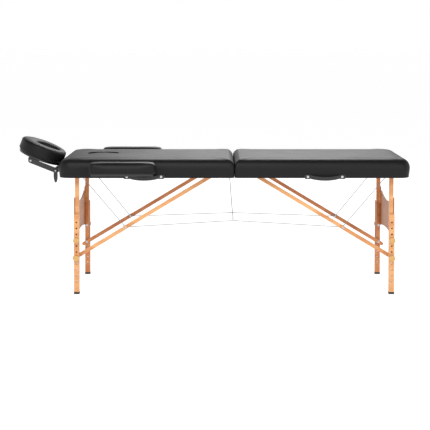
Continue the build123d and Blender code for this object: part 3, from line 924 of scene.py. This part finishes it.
class MASSAGE_OT_cables(bpy.types.Operator):
    """Steel cables from the legs' top pivots through the brace knees, with their crimped sleeves"""

    bl_idname = "massage.cables"
    bl_label = "Cables"

    ANCHOR = (0.8344, 0.198, 0.656)
    KNEE = (0.5863, 0.182, 0.3523)
    MIDDLE = (-0.004, 0.137, 0.380)
    TOP = (-0.023, 0, 0.6245)
    HANDOVER = 0.10
    BOLT_HEIGHT = 0.662
    # The drum's two flanges and its core: from, to and radius.
    DRUM = ((0.1950, 0.1974, 0.0068), (0.1972, 0.2060, 0.0052), (0.2058, 0.2082, 0.0068))
    PLATE = ((-0.032, -0.010, 0.6312), (-0.005, 0.010, 0.6330))
    PLATE_SCREWS = ((-0.010, -0.0065, 0.6298), (-0.010, 0.0065, 0.6298))
    NECK_Y = 0.1885

    def execute(self, context):
        size = settings("cables")
        for side, across in SIDES.items():
            for end, along in ENDS.items():
                self.long_cable(side, across, end, along, size)
                self.eye(f"cable_eye_{end}_{side}", across, along, f"{end}_section")
        self.short_cable(size)
        self.centre_hook()
        return {"FINISHED"}

    @staticmethod
    def point(place, along, across):
        return Vector((place[0] * along, place[1] * across, place[2]))

    def long_cable(self, side, across, end, along, size):
        anchor = self.point(self.ANCHOR, along, across)
        knee = self.point(self.KNEE, along, across)
        middle = self.point(self.MIDDLE, 1, across)
        section, brace = f"{end}_section", f"{end}_upper_braces"
        upper = self.strand(f"cable_{end}_{side}_upper", anchor, knee, size.radius)
        dress(upper, "cable", None)
        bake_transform(upper)
        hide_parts(f"cable_{side}")
        lower_end = middle
        if end == "foot":
            lower_end = middle.lerp(knee, self.HANDOVER)
            bridge = self.strand(f"cable_{side}_bridge", lower_end, middle, size.radius)
            dress(bridge, "cable", None)
            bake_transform(bridge)
        lower = self.strand(f"cable_{end}_{side}_lower", knee, lower_end, size.radius)
        dress(lower, "cable", None)
        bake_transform(lower)
        self.knee_fitting(f"knee_fitting_{end}_{side}", knee, anchor, middle, across, brace, size)
        self.sleeve(f"anchor_sleeve_{end}_{side}", anchor, knee, 6 * MM, section, size)
        self.sleeve(f"middle_sleeve_{end}_{side}", middle, knee, 3 * MM, "head_section", size)

    def strand(self, name, start, end, radius, steps=40):
        """A cable's straight stretch with rings close enough together to bend."""
        deselect()
        along = end - start
        bpy.ops.mesh.primitive_cylinder_add(
            radius=radius,
            depth=along.length,
            vertices=12,
            location=(start + end) / 2,
            rotation=along.to_track_quat("Z", "Y").to_euler(),
        )
        piece = settle(bpy.context.object, name)
        pick(piece)
        bpy.ops.object.mode_set(mode="EDIT")
        bpy.ops.mesh.select_mode(type="EDGE")
        bpy.ops.mesh.select_all(action="DESELECT")
        mesh = bmesh.from_edit_mesh(piece.data)
        for edge in mesh.edges:
            run = edge.verts[0].co - edge.verts[1].co
            edge.select_set(run.length > 0.5 * along.length)
        bmesh.update_edit_mesh(piece.data)
        bpy.ops.mesh.subdivide(number_cuts=steps)
        bpy.ops.object.mode_set(mode="OBJECT")
        smooth(piece)
        return piece

    def eye(self, name, across, along, body):
        """A grooved drum on the leg's top bolt that holds a long cable's end."""
        parts = []
        for inner, outer, radius in self.DRUM:
            start = Vector((self.ANCHOR[0] * along, across * inner, self.BOLT_HEIGHT))
            end = Vector((self.ANCHOR[0] * along, across * outer, self.BOLT_HEIGHT))
            parts.append(rod("drum", start, end, radius, 28, 0.4 * MM))
        dress(join(name, parts), "steel", body)

    def centre_hook(self):
        """A screwed plate under the head section with the ring that the short cable hangs from."""
        plate = block("plate", *self.PLATE)
        bevel_where(plate, lambda a, b: abs(a.z - b.z) > MM, 3 * MM, 4)
        deselect()
        bpy.ops.mesh.primitive_torus_add(
            major_radius=5 * MM,
            minor_radius=1.3 * MM,
            major_segments=32,
            minor_segments=12,
            location=(self.TOP[0], 0, self.TOP[2] + 1.7 * MM),
            rotation=(math.radians(90), 0, 0),
        )
        ring = settle(bpy.context.object)
        smooth(ring)
        parts = [plate, ring]
        for place in self.PLATE_SCREWS:
            head = Vector(place)
            parts.append(rod("screw", head, head + Vector((0, 0, 2 * MM)), 2.4 * MM))
        hook = dress(join("cable_hook", parts), "steel", "head_section")
        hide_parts("cable_anchors")

    def sleeve(self, name, start, towards, offset, body, size):
        direction = (Vector(towards) - Vector(start)).normalized()
        first = Vector(start) + direction * offset
        piece = rod(name, first, first + direction * size.sleeve_length, size.sleeve_radius)
        dress(piece, "steel", body)

    def knee_fitting(self, name, knee, anchor, middle, across, body, size):
        """An eye on the knee bolt that guides the cable round the knee."""
        deselect()
        bpy.ops.mesh.primitive_uv_sphere_add(segments=20, ring_count=12, radius=4.2 * MM, location=knee)
        ball = settle(bpy.context.object)
        smooth(ball)
        parts = [ball]
        for target in (anchor, middle):
            direction = (target - knee).normalized()
            parts.append(rod("arm", knee, knee + direction * size.sleeve_length, size.sleeve_radius))
        neck_end = Vector((knee.x, across * self.NECK_Y, knee.z))
        parts.append(rod("neck", knee, neck_end, 3.2 * MM))
        dress(join(name, parts), "steel", body)

    def short_cable(self, size):
        top = Vector(self.TOP)
        for side, across in SIDES.items():
            foot = self.point(self.MIDDLE, 1, across) + Vector((0, 0, 3 * MM))
            piece = self.strand(f"cable_centre_{side}", top, foot, size.radius)
            dress(piece, "cable", "head_section")
            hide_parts("cable_centre")
            self.sleeve(f"centre_sleeve_{side}", foot, top, 2 * MM, "head_section", size)


OPERATORS = (
    MASSAGE_OT_stage,
    MASSAGE_OT_finishes,
    MASSAGE_OT_top_cushions,
    MASSAGE_OT_face_plug,
    MASSAGE_OT_armrests,
    MASSAGE_OT_cradle_cushion,
    MASSAGE_OT_cables,
)


class MASSAGE_PT_sidebar(bpy.types.Panel):
    """Lists the table's settings and building steps"""

    bl_label = "Massage table"
    bl_space_type = "VIEW_3D"
    bl_region_type = "UI"
    bl_category = "Massage table"

    def draw(self, context):
        for group in GROUPS:
            values = getattr(context.scene, f"massage_{group}")
            for name in values.__annotations__:
                self.layout.prop(values, name)
        for operator in OPERATORS:
            self.layout.operator(operator.bl_idname)


GROUPS = {
    "upholstery": UpholsterySettings,
    "cables": CableSettings,
    "finishes": FinishSettings,
    "stage": StageSettings,
}
CLASSES = (*GROUPS.values(), *OPERATORS, MASSAGE_PT_sidebar)


def register():
    for cls in CLASSES:
        bpy.utils.register_class(cls)
    for name, group in GROUPS.items():
        setattr(bpy.types.Scene, f"massage_{name}", bpy.props.PointerProperty(type=group))


def unregister():
    for name in GROUPS:
        delattr(bpy.types.Scene, f"massage_{name}")
    for cls in reversed(CLASSES):
        bpy.utils.unregister_class(cls)


def main():
    register()
    for operator in OPERATORS:
        family, name = operator.bl_idname.split(".")
        getattr(getattr(bpy.ops, family), name)()


if __name__ == "__main__":
    main()
